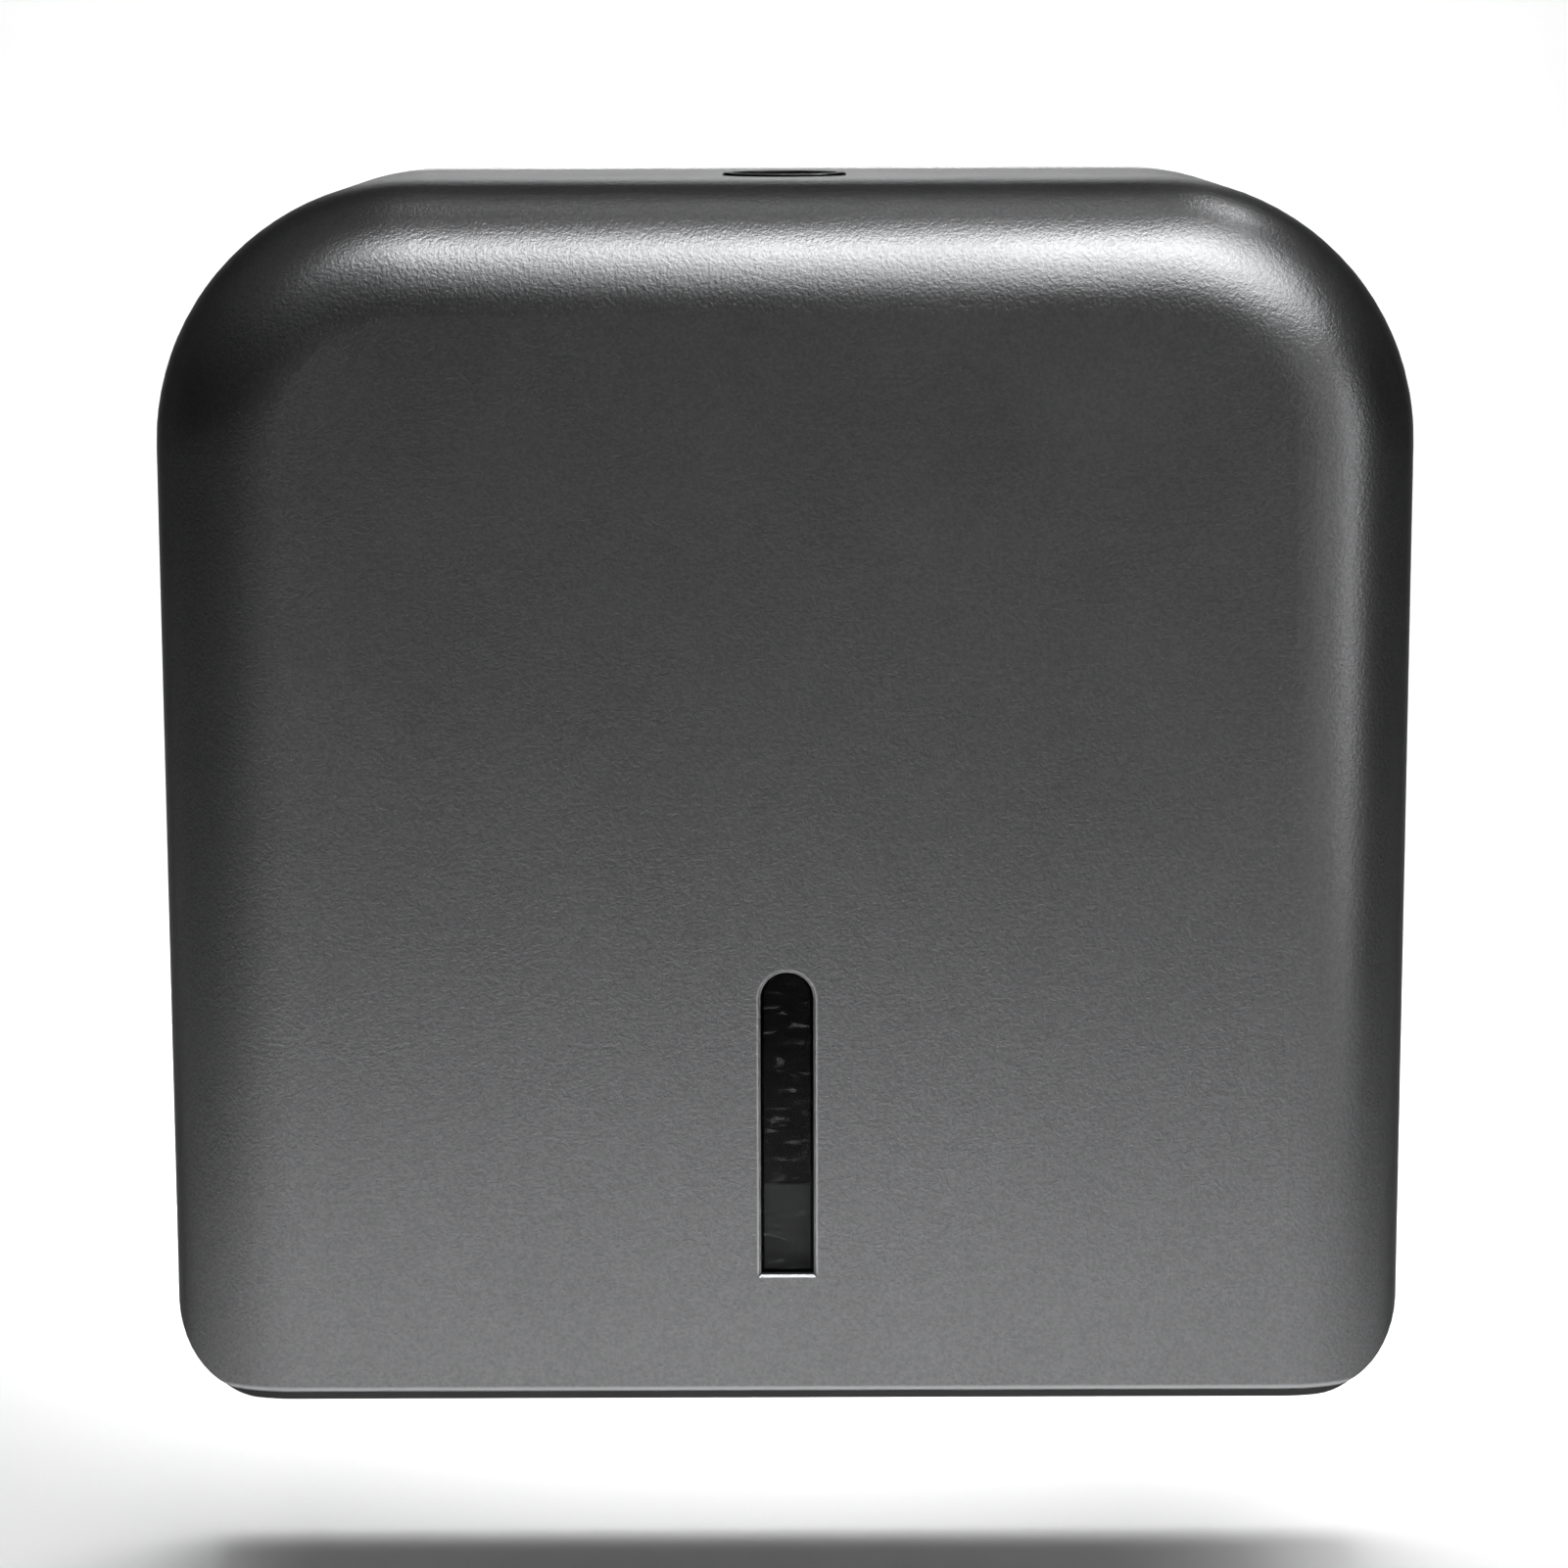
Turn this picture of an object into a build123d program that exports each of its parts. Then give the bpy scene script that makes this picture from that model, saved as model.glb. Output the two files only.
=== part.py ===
from build123d import *
import math
import os

# Wall dispenser for folded paper towels: a wall unit holds the towels, a drop-down cover
# is hinged at its bottom rear edge, and a quarter-turn lock sits in the cover's top.
# Millimetres, +Z up. The front faces -Y, the wall is at +Y, and z = 0 is the underside.

# Driving sizes of the whole object
width = 275.0
depth = 105.0
height = 268.0
top_corner = 58.0
front_round = 28.0
cover_low_corner = 19.0
base_low_corner = 19.0
cover_low = 3.0
cover_wall = 2.5
cover_edge_round = 1.4

# Clearances of the drawing itself: how far a cut runs past the face that it opens, how far
# two joined forms overlap, and how closely an edge is looked for on a face
over = 1.0
join = 0.5
near = 0.01

# Wall unit
plate_thick = 2.5
rim_wall = 2.5
rim_depth = 13.0
seam_gap = 0.5
rib_thick = 2.0
rib_rise = 3.0
rib_low = 30.0
rib_top_gap = 40.0
rib_column_x = 52.0
rib_row_low = 100.0
rib_row_high = 170.0
wall_hole_radius = 2.75
wall_hole_spacing_x = 160.0
wall_hole_spacing_z = 150.0
wall_hole_low = 60.0
wall_pad_radius = 8.0
wall_pad_rise = 1.5

# Hinge of the cover
hinge_reach = 13.5
pin_radius = 3.0
pin_fit = 0.05
press_gap = 0.01
bush_wall = 1.5
bush_length = 6.0
bush_cover = 1.5
boss_wall = 3.5
hub_wall = 5.0
hub_face_gap = 0.5
hub_reach = 4.0
bracket_thick = 3.5
bracket_flange_reach = 14.0
bracket_flange_thick = 2.5
bracket_top = 45.0
bracket_top_depth = 12.0
bracket_tray_gap = 1.0
bracket_screw_shift = 1.0
bracket_screw_heights = (30.0, 39.0)
pin_chamfer = 0.5

# Towel tray and its mouth
tray_wall = 2.5
tray_floor = 3.0
tray_side_top = 15.0
tray_flange_top = 22.0
tray_flange_gap = 6.0
tray_screw_inset = 16.0
tray_screw_x = 35.0
tray_step_thick = 2.5
tray_step_sink = 0.3
side_gap = 1.0
lip_half = 133.1
lip_gap = 0.3
swing_gap = 0.5
mouth_length = 190.0
mouth_width = 50.0
mouth_y = -2.0
insert_wall = 1.8
insert_gap = 0.2
insert_flange = 6.0
insert_flange_thick = 1.5
insert_round = 0.6

# Apron behind the window, and the guides beside the towels
apron_width = 180.0
apron_top = 48.0
apron_thick = 2.0
apron_corner = 10.0
apron_screw_inset = 20.0
guide_side_gap = 16.0
guide_thick = 2.0
guide_low = 52.0
guide_top = 215.0
guide_front = -26.0
guide_lip = 8.0
guide_flange = 14.0
guide_screw_heights = (80.0, 190.0)

# Window
slot_width = 11.6
slot_low = 29.7
slot_high = 97.5
slot_chamfer = 0.5
lens_overlap = 4.0
lens_thick = 1.2
lens_gap = 0.2
pocket_wall = 1.4
retainer_thick = 2.0
retainer_margin = 1.0
ear_radius = 3.6
ear_heights = (60.0, 92.0)
ear_sink = 1.0
ear_screw_skin = 1.0

# Lock
lock_setback = 43.0
cup_bore = 11.5
cup_wall = 1.1
cup_fit = 0.1
cup_floor = 2.0
cup_depth = 14.0
cup_flange_radius = 13.6
cup_flange_thick = 0.6
cup_flange_chamfer = 0.3
nut_radius = 15.0
nut_thick = 4.0
nut_notches = 6
nut_notch_width = 3.0
nut_notch_depth = 1.0
rotor_fit = 0.08
rotor_drop = 0.6
rotor_wall = 1.0
pocket_depth = 7.0
web_thick = 3.0
journal_radius = 5.0
journal_fit = 0.05
running_gap = 0.3
washer_thick = 0.6
washer_radius = 8.0
cam_thick = 2.5
cam_half = 5.0
cam_hub_radius = 7.0
hook_inner = 23.3
hook_thick = 3.0
hook_rise = 6.0
keeper_thick = 2.0
keeper_half = 8.0
keeper_flange_half = 14.0
keeper_flange_tall = 27.5
keeper_top_gap = 2.0
keeper_hook_gap = 0.5
keeper_tab_gap = 1.3
keeper_screw_x = 8.5
keeper_screw_rise = 9.0

# Rubber bumpers that the closed cover rests against
bumper_x = 60.0
bumper_radius = 4.0
bumper_length = 4.7
bumper_round = 1.0
bumper_stem_radius = 1.5
bumper_stem = 3.0
bumper_end_gap = 0.1
bumper_drop = 7.0
bumper_post_radius = 5.5
stop_half = 5.0
stop_thick = 3.0
stop_drop = 10.0

# Screws: radius of the shank, radius and thickness of the head
screw_shank = 1.3
screw_head = 2.9
screw_head_thick = 1.5
pilot_gap = 0.02
screw_tip_cover = 0.8
small_shank = 0.9
small_head = 1.9
small_head_thick = 1.0
cam_screw_shank = 2.0
cam_screw_head = 4.0
cam_screw_head_thick = 2.4
cam_screw_depth = 9.0
recess_half = 0.35
recess_reach = 1.1
head_round_share = 0.45
screw_end_gap = 0.2
drill_run = 5.0

# Places worked out from the sizes above
half = width / 2
y_wall = depth / 2
y_front = -depth / 2
y_plate = y_wall - plate_thick
y_seam = y_wall - rim_depth
y_cover_rear = y_seam - seam_gap
y_cover_inside = y_front + cover_wall
z_cover_inside = height - cover_wall
hinge_y = y_cover_rear - hinge_reach
hinge_z = cover_low + hinge_reach
cover_side_inside = half - cover_wall
boss_face = half - bush_cover - bush_length
hub_face = boss_face - hub_face_gap
lens_half = slot_width / 2 + lens_overlap
lens_low = slot_low - lens_overlap
lens_high = slot_high + lens_overlap
y_lens_rear = y_cover_inside + lens_thick
pocket_half = lens_half + lens_gap + pocket_wall
pocket_low = lens_low - lens_gap - pocket_wall
pocket_high = lens_high + lens_gap + pocket_wall
bracket_inside = hub_face - hub_reach - bracket_thick
towel_half = cover_side_inside - guide_side_gap
tray_flange_half = bracket_inside - tray_flange_gap
keeper_top = z_cover_inside - keeper_top_gap
keeper_flange_low = keeper_top - keeper_flange_tall
far = 400.0


def span_box(x, y, z):
    """Box between a low and a high value on each axis."""
    size = (x[1] - x[0], y[1] - y[0], z[1] - z[0])
    centre = ((x[0] + x[1]) / 2, (y[0] + y[1]) / 2, (z[0] + z[1]) / 2)
    return Pos(*centre) * Box(*size)


def rod_x(radius, x, y, z):
    """Round bar along X between the two values of x."""
    return Pos((x[0] + x[1]) / 2, y, z) * Rot(0, 90, 0) * Cylinder(radius, x[1] - x[0])


def rod_y(radius, x, y, z):
    """Round bar along Y between the two values of y."""
    return Pos(x, (y[0] + y[1]) / 2, z) * Rot(90, 0, 0) * Cylinder(radius, y[1] - y[0])


def rod_z(radius, x, y, z):
    """Round bar along Z between the two values of z."""
    return Pos(x, y, (z[0] + z[1]) / 2) * Cylinder(radius, z[1] - z[0])


def slab(section, y):
    """Carry a front-view section (x across, z up) from y[1] forward to y[0]."""
    return extrude(Plane.XZ.offset(-y[1]) * section, amount=y[1] - y[0])


def plate_z(section, z):
    """Carry a plan section (x across, y back) from z[0] up to z[1]."""
    return extrude(Plane.XY.offset(z[0]) * section, amount=z[1] - z[0])


def arch(half_width, low, high, high_corner, low_corner=0.0):
    """Front-view outline with two large round top corners and two small bottom ones."""
    outline = Pos(0, (low + high) / 2) * Rectangle(2 * half_width, high - low)
    outline = fillet(outline.vertices().group_by(Axis.Y)[-1], high_corner)
    if low_corner:
        outline = fillet(outline.vertices().group_by(Axis.Y)[0], low_corner)
    return outline


def dome(inset, front, low=-far, rear=y_wall):
    """The cover's rounded form, moved in by an inset, with square bottom corners."""
    outline = arch(half - inset, low, height - inset, top_corner - inset)
    body = slab(outline, (front, rear))
    edges = body.edges().filter_by_position(Axis.Y, front - near, front + near)
    return fillet(edges.sort_by(Axis.Z)[1:], front_round - inset)


def stadium(length, across, y):
    """Plan outline of a long slot with round ends, centred at x = 0."""
    return Pos(0, y) * SlotOverall(length, across)


def both_sides(piece):
    """The piece and its mirror image across the middle."""
    return [piece, mirror(piece, about=Plane.YZ)]


def save(name, *pieces):
    """Write one node: one solid, or a group of separate solids."""
    shape = pieces[0] if len(pieces) == 1 else Compound(children=list(pieces))
    export_step(shape, f"parts/{name}.step")


def screw(length, shank=screw_shank, head=screw_head, head_thick=screw_head_thick):
    """Pan-head screw, head above z = 0 and shank down, with a cross recess."""
    body = Pos(0, 0, -length / 2) * Cylinder(shank, length)
    cap = Pos(0, 0, head_thick / 2) * Cylinder(head, head_thick)
    cap = fillet(cap.edges().group_by(Axis.Z)[-1], head_thick * head_round_share)
    arm = Pos(0, 0, head_thick) * Box(head * recess_reach, 2 * recess_half, head_thick)
    cross = arm + Rot(0, 0, 90) * arm
    return body + cap - cross


def flange_screws(places):
    """Screws driven through a flange into the back plate, one at each place."""
    length = bracket_flange_thick + plate_thick - screw_tip_cover
    head_face = y_plate - bracket_flange_thick
    return [Pos(x, head_face, z) * Rot(90, 0, 0) * screw(length) for x, z in places]


# Wall unit

def wall_unit_outline(inset):
    """The wall unit's outline from its flat underside up."""
    return arch(half - inset, inset, height - inset, top_corner - inset, base_low_corner - inset)




def beside(x, heights):
    """Places at the same distance each side of the middle, at each height."""
    return [(side * x, z) for side in (-1, 1) for z in heights]


wall_hole_heights = (wall_hole_low, wall_hole_low + wall_hole_spacing_z)
wall_holes = beside(wall_hole_spacing_x / 2, wall_hole_heights)
tray_screw_outer = tray_flange_half - tray_screw_inset
tray_screw_z = (tray_floor + tray_flange_top) / 2
tray_screw_places = beside(tray_screw_x, (tray_screw_z,)) + beside(tray_screw_outer, (tray_screw_z,))
bracket_screw_x = bracket_inside - bracket_flange_reach / 2 + bracket_screw_shift
bracket_screw_places = beside(bracket_screw_x, bracket_screw_heights)
guide_screw_x = towel_half - guide_flange / 2
guide_screw_places = beside(guide_screw_x, guide_screw_heights)
keeper_screw_z = keeper_flange_low + keeper_screw_rise
keeper_screw_places = beside(keeper_screw_x, (keeper_screw_z,))
wall_screw_hole = (y_plate - drill_run, y_plate + over)
lock_y = y_front + lock_setback
bumper_z = z_cover_inside - bumper_drop
bumper_front = y_cover_rear + running_gap


def plate_pilots():
    """Holes for every screw that ends in the back plate."""
    places = tray_screw_places + bracket_screw_places + guide_screw_places + keeper_screw_places
    pilot = (y_plate - over, y_wall - screw_tip_cover)
    return [rod_y(screw_shank + pilot_gap, x, pilot, z) for x, z in places]


def back_plate():
    """Flat moulding on the wall with a rim all round, ribs, screw pads and posts."""
    body = slab(wall_unit_outline(0), (y_seam, y_wall))
    body -= slab(wall_unit_outline(rim_wall), (y_seam - over, y_plate))
    rib = (y_plate - rib_rise, y_plate)
    for x in (-rib_column_x, rib_column_x):
        body += span_box((x - rib_thick / 2, x + rib_thick / 2), rib, (rib_low, height - rib_top_gap))
    rib_reach = towel_half - guide_flange
    for z in (rib_row_low, rib_row_high):
        body += span_box((-rib_reach, rib_reach), rib, (z - rib_thick / 2, z + rib_thick / 2))
    for x, z in wall_holes:
        body += rod_y(wall_pad_radius, x, (y_plate - wall_pad_rise, y_plate), z)
    for x in (-bumper_x, bumper_x):
        post_front = bumper_front + bumper_length
        body += rod_y(bumper_post_radius, x, (post_front, y_plate), bumper_z)
        body -= rod_y(bumper_stem_radius, x, (post_front, post_front + bumper_stem), bumper_z)
    for x, z in wall_holes:
        body -= rod_y(wall_hole_radius, x, (y_plate - drill_run, y_wall + over), z)
    for pilot in plate_pilots():
        body -= pilot
    return body


nodes = {}
nodes["back_plate"] = [back_plate()]

bumper = rod_y(bumper_radius, bumper_x, (bumper_front, bumper_front + bumper_length), bumper_z)
bumper = fillet(bumper.edges().group_by(Axis.Y)[0], bumper_round)
bumper += rod_y(
    bumper_stem_radius - press_gap,
    bumper_x,
    (bumper_front + bumper_length - join, bumper_front + bumper_length + bumper_stem - bumper_end_gap),
    bumper_z,
)
nodes["cover_bumpers"] = both_sides(bumper)

# Towel tray

inside_swing = min(hinge_y - y_cover_inside, math.hypot(hinge_y - y_lens_rear, pocket_low - hinge_z))
tray_radius = inside_swing - swing_gap
tray_front = hinge_y - math.sqrt(tray_radius ** 2 - hinge_z ** 2)
tray_half = lip_half - lip_gap
tray_rear = y_seam - insert_gap
tray_inside_front = tray_front + tray_wall
mouth_hole = 2 * (insert_wall + insert_gap)
apron_screw_x = apron_width / 2 - apron_screw_inset
apron_screw_z = (tray_floor + tray_side_top) / 2


def tray_block(inset, low):
    """The tray's outer form, moved in by an inset, from a height up."""
    body = dome(cover_wall + side_gap + inset, tray_front + inset)
    section = arch(half - side_gap - inset, 0, height, top_corner, base_low_corner)
    section &= Pos(0, height / 2 + low) * Rectangle(2 * (tray_half - inset), height)
    return body & slab(section, (y_front, tray_rear))


def towel_tray():
    """Open tray: floor with the mouth, low side and front walls, and a rear flange."""
    low_part = span_box((-far, far), (-far, far), (-over, tray_side_top))
    body = tray_block(0, 0) & low_part
    body -= tray_block(tray_wall, tray_floor)
    side_cut = (hinge_y - hinge_reach, tray_rear + over)
    body -= span_box((-far, far), side_cut, (tray_floor, far))
    step_front = mouth_y + mouth_width / 2 + insert_flange + insert_gap
    body += span_box(
        (-tray_flange_half, tray_flange_half),
        (step_front, y_plate),
        (tray_floor - tray_step_sink, tray_floor + tray_step_thick),
    )
    body += span_box(
        (-tray_flange_half, tray_flange_half),
        (y_plate - bracket_flange_thick, y_plate),
        (tray_floor, tray_flange_top),
    )
    hole = stadium(mouth_length + mouth_hole, mouth_width + mouth_hole, mouth_y)
    body -= plate_z(hole, (-over, tray_floor + tray_step_thick + over))
    for x, z in tray_screw_places:
        body -= rod_y(screw_shank + insert_gap, x, wall_screw_hole, z)
    apron_pilot = (tray_front + screw_tip_cover, tray_inside_front + over)
    for x in (-apron_screw_x, apron_screw_x):
        body -= rod_y(screw_shank + pilot_gap, x, apron_pilot, apron_screw_z)
    return body


def mouth_insert():
    """Smooth oval ring that lines the mouth and keeps the towels from tearing."""
    outside = stadium(mouth_length + 2 * insert_wall, mouth_width + 2 * insert_wall, mouth_y)
    flange = stadium(mouth_length + 2 * insert_flange, mouth_width + 2 * insert_flange, mouth_y)
    inside = stadium(mouth_length, mouth_width, mouth_y)
    top = tray_floor + insert_flange_thick
    ring = plate_z(outside, (insert_gap, tray_floor)) + plate_z(flange, (tray_floor, top))
    ring -= plate_z(inside, (-over, top + over))
    return fillet(ring.edges().group_by(Axis.Z)[-1], insert_round)


def front_apron():
    """Upright panel behind the window that keeps the lowest towels from bulging out."""
    outline = Pos(0, (tray_floor + apron_top) / 2) * Rectangle(apron_width, apron_top - tray_floor)
    outline = fillet(outline.vertices().group_by(Axis.Y)[-1], apron_corner)
    body = slab(outline, (tray_inside_front, tray_inside_front + apron_thick))
    screw_hole = (tray_inside_front - over, tray_inside_front + drill_run)
    for x in (-apron_screw_x, apron_screw_x):
        body -= rod_y(screw_shank + insert_gap, x, screw_hole, apron_screw_z)
    return body


apron_screw_length = apron_thick + tray_wall - screw_tip_cover
apron_screws = [
    Pos(x, tray_inside_front + apron_thick, apron_screw_z) * Rot(-90, 0, 0) * screw(apron_screw_length)
    for x in (-apron_screw_x, apron_screw_x)
]
nodes["towel_tray"] = [towel_tray()]
nodes["mouth_insert"] = [mouth_insert()]
nodes["front_apron"] = [front_apron()]
nodes["apron_screws"] = apron_screws
nodes["tray_screws"] = flange_screws(tray_screw_places)


# Towel guides, one each side

def towel_guide():
    """Upright channel of bent sheet on the right, with a front lip and a rear flange."""
    side = (towel_half, towel_half + guide_thick)
    rear = (y_plate - bracket_flange_thick, y_plate)
    tall = (guide_low, guide_top)
    body = span_box(side, (guide_front, y_plate), tall)
    lip = (guide_front, guide_front + guide_thick)
    body += span_box((towel_half - guide_lip, towel_half), lip, tall)
    body += span_box((towel_half - guide_flange, towel_half), rear, tall)
    for z in guide_screw_heights:
        body -= rod_y(screw_shank + insert_gap, guide_screw_x, wall_screw_hole, z)
    return body


right_guide, left_guide = both_sides(towel_guide())
nodes["right_towel_guide"] = [right_guide]
nodes["left_towel_guide"] = [left_guide]
nodes["guide_screws"] = flange_screws(guide_screw_places)

# Hinge: bracket, pin and bush, one each side

hub_radius = pin_radius + hub_wall
bush_radius = pin_radius + pin_fit + bush_wall
boss_radius = bush_radius + boss_wall
pin_inner = bracket_inside
pin_outer = boss_face + bush_length - running_gap


def hinge_bracket():
    """Arm from the back plate that carries the right hinge pin."""
    web = Polygon(
        (hinge_y, hinge_z - hub_radius),
        (y_plate, hinge_z - hub_radius),
        (y_plate, bracket_top),
        (y_plate - bracket_top_depth, bracket_top),
        (hinge_y, hinge_z + hub_radius),
        align=None,
    )
    body = extrude(Plane.YZ.offset(bracket_inside) * web, amount=bracket_thick)
    body += rod_x(hub_radius, (bracket_inside, hub_face), hinge_y, hinge_z)
    body += span_box(
        (bracket_inside - bracket_flange_reach, bracket_inside + bracket_thick),
        (y_plate - bracket_flange_thick, y_plate),
        (tray_flange_top + bracket_tray_gap, bracket_top),
    )
    body -= rod_x(pin_radius + press_gap, (bracket_inside - over, hub_face + over), hinge_y, hinge_z)
    for z in bracket_screw_heights:
        body -= rod_y(screw_shank + insert_gap, bracket_screw_x, wall_screw_hole, z)
    return body


pin = rod_x(pin_radius, (pin_inner, pin_outer), hinge_y, hinge_z)
pin = chamfer(pin.edges().filter_by(GeomType.CIRCLE), pin_chamfer)
bush = rod_x(bush_radius, (boss_face, boss_face + bush_length), hinge_y, hinge_z)
bush_bore = (boss_face - over, boss_face + bush_length + over)
bush -= rod_x(pin_radius + pin_fit, bush_bore, hinge_y, hinge_z)
for name, piece in (("hinge_bracket", hinge_bracket()), ("hinge_pin", pin), ("hinge_bush", bush)):
    right, left = both_sides(piece)
    nodes[f"right_{name}"] = [right]
    nodes[f"left_{name}"] = [left]
nodes["bracket_screws"] = flange_screws(bracket_screw_places)

# Cover

y_retainer_rear = y_lens_rear + retainer_thick
retainer_low = hinge_z + math.sqrt(max(inside_swing ** 2 - (hinge_y - y_retainer_rear) ** 2, 0))
ear_x = pocket_half + ear_radius - ear_sink
ear_places = [(s * ear_x, z) for s in (-1, 1) for z in ear_heights]
cup_radius = cup_bore + cup_wall
window_screw_depth = retainer_thick + lens_thick + cover_wall - ear_screw_skin


def slot_outline(margin):
    """Window outline: square at the bottom, a half circle at the top."""
    radius = slot_width / 2 + margin
    low = slot_low - margin
    shoulder = slot_high - slot_width / 2
    straight = Pos(0, (low + shoulder) / 2) * Rectangle(2 * radius, shoulder - low)
    return straight + Pos(0, shoulder) * Circle(radius)


def rectangle_between(half_width, low, high):
    """Front-view rectangle centred at x = 0."""
    return Pos(0, (low + high) / 2) * Rectangle(2 * half_width, high - low)


def cover_shell():
    """Outer form less the hollow, with a small round along its bottom edge."""
    body = dome(0, y_front, cover_low, y_cover_rear)
    low_edges = body.edges().group_by(Axis.Z)[0]
    low_edges = [edge for edge in low_edges if (edge @ 0.5).Y < y_cover_rear - over]
    body = fillet(low_edges, cover_edge_round)
    outline = arch(half, cover_low, height, top_corner, cover_low_corner)
    body &= slab(outline, (y_front, y_cover_rear))
    inner = arch(
        cover_side_inside, cover_low + cover_wall, z_cover_inside,
        top_corner - cover_wall, cover_low_corner - cover_wall,
    )
    inner += rectangle_between(lip_half, -far, cover_low + cover_low_corner)
    return body - (dome(cover_wall, y_cover_inside) & slab(inner, (y_front, y_wall)))


def front_cover():
    """Drop-down cover with hinge bosses, window pocket, lock hole and stops."""
    body = cover_shell()
    heel = span_box((-far, far), (hinge_y, y_cover_rear + over), (cover_low - over, hinge_z))
    heel -= rod_x(hinge_reach, (-far, far), hinge_y, hinge_z)
    body -= heel
    boss = rod_x(boss_radius, (boss_face, cover_side_inside + join), hinge_y, hinge_z)
    bore = rod_x(bush_radius + press_gap, (boss_face - over, boss_face + bush_length), hinge_y, hinge_z)
    for piece in both_sides(boss):
        body += piece
    for piece in both_sides(bore):
        body -= piece
    pocket = rectangle_between(pocket_half, pocket_low, pocket_high)
    pocket -= rectangle_between(lens_half + lens_gap, lens_low - lens_gap, lens_high + lens_gap)
    body += slab(pocket, (y_cover_inside - join, y_lens_rear))
    for x, z in ear_places:
        body += rod_y(ear_radius, x, (y_cover_inside - join, y_lens_rear), z) & outside_lens()
    body -= slab(slot_outline(0), (y_front - over, y_cover_inside + over))
    rim = [
        edge for edge in body.edges().filter_by_position(Axis.Y, y_front - near, y_front + near)
        if abs((edge @ 0.5).X) < slot_width and (edge @ 0.5).Z > slot_low - over
    ]
    body = chamfer(rim, slot_chamfer)
    ear_pilot = (y_retainer_rear - window_screw_depth, y_lens_rear + over)
    for x, z in ear_places:
        body -= rod_y(small_shank + pilot_gap, x, ear_pilot, z)
    for x in (-bumper_x, bumper_x):
        body += span_box(
            (x - stop_half, x + stop_half),
            (y_cover_rear - stop_thick, y_cover_rear),
            (z_cover_inside - stop_drop, z_cover_inside + join),
        )
    return body - rod_z(cup_radius + cup_fit, 0, lock_y, (z_cover_inside - over, height + over))


def outside_lens():
    """Everything beside the lens pocket's opening, so that the ears stay out of it."""
    whole = rectangle_between(far, -far, far)
    whole -= rectangle_between(lens_half + lens_gap, lens_low - lens_gap, lens_high + lens_gap)
    return slab(whole, (y_front, y_lens_rear))


def window_retainer():
    """Frame behind the lens, open below so that it swings clear of the tray."""
    frame = rectangle_between(pocket_half, retainer_low, pocket_high)
    for x, z in ear_places:
        frame += Pos(x, z) * Circle(ear_radius)
    frame -= slot_outline(retainer_margin)
    body = slab(frame, (y_lens_rear, y_retainer_rear))
    for x, z in ear_places:
        body -= rod_y(small_shank + insert_gap, x, (y_lens_rear - over, y_lens_rear + drill_run), z)
    return body


lens = slab(rectangle_between(lens_half, lens_low, lens_high), (y_cover_inside, y_lens_rear))
window_screws = [
    Pos(x, y_retainer_rear, z) * Rot(-90, 0, 0)
    * screw(window_screw_depth - screw_end_gap, small_shank, small_head, small_head_thick)
    for x, z in ear_places
]
nodes["front_cover"] = [front_cover()]
nodes["window_lens"] = [lens]
nodes["window_retainer"] = [window_retainer()]
nodes["window_screws"] = window_screws

# Lock in the cover's top

cup_bottom = height - cup_depth
cup_inside = cup_bottom + cup_floor
rotor_radius = cup_bore - rotor_fit
rotor_bottom = cup_inside + running_gap
rotor_top = height - rotor_drop
washer_top = cup_bottom - running_gap
cam_top = washer_top - washer_thick
cam_bottom = cam_top - cam_thick


def lock_cup():
    """Flanged cup in the cover's hole, in which the rotor turns."""
    body = rod_z(cup_radius, 0, lock_y, (cup_bottom, height))
    body += rod_z(cup_flange_radius, 0, lock_y, (height, height + cup_flange_thick))
    body = chamfer(body.edges().group_by(Axis.Z)[-1], cup_flange_chamfer)
    body -= rod_z(cup_bore, 0, lock_y, (cup_inside, height + 2 * over))
    return body - rod_z(journal_radius + journal_fit, 0, lock_y, (cup_bottom - over, cup_inside + over))


def lock_nut():
    """Ring nut that clamps the cup under the cover's top."""
    low = z_cover_inside - nut_thick
    body = rod_z(nut_radius, 0, lock_y, (low, z_cover_inside))
    body -= rod_z(cup_radius + press_gap, 0, lock_y, (low - over, z_cover_inside + over))
    notch = span_box(
        (nut_radius - nut_notch_depth, nut_radius + over),
        (-nut_notch_width / 2, nut_notch_width / 2),
        (low - over, z_cover_inside + over),
    )
    for turn in range(nut_notches):
        body -= Pos(0, lock_y, 0) * Rot(0, 0, turn * 360 / nut_notches) * notch
    return body


def lock_rotor():
    """Turning plug with two half-moon key pockets either side of a web."""
    body = rod_z(rotor_radius, 0, lock_y, (rotor_bottom, rotor_top))
    pocket = rod_z(rotor_radius - rotor_wall, 0, lock_y, (rotor_top - pocket_depth, rotor_top + over))
    pocket -= span_box((-web_thick / 2, web_thick / 2), (-far, far), (0, far))
    body -= pocket
    body += rod_z(journal_radius, 0, lock_y, (cam_top, rotor_bottom))
    pilot = (cam_top - over, cam_top + cam_screw_depth)
    return body - rod_z(cam_screw_shank + pilot_gap, 0, lock_y, pilot)


def lock_cam():
    """Flat bar under the cup with an upturned hook, pointing to +X when unlocked."""
    bar = span_box((0, hook_inner + hook_thick), (-cam_half, cam_half), (cam_bottom, cam_top))
    bar += rod_z(cam_hub_radius, 0, 0, (cam_bottom, cam_top))
    hook = (hook_inner, hook_inner + hook_thick)
    bar += span_box(hook, (-cam_half, cam_half), (cam_bottom, cam_top + hook_rise))
    bar -= rod_z(cam_screw_shank + insert_gap, 0, 0, (cam_bottom - over, cam_top + over))
    return Pos(0, lock_y, 0) * bar


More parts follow.
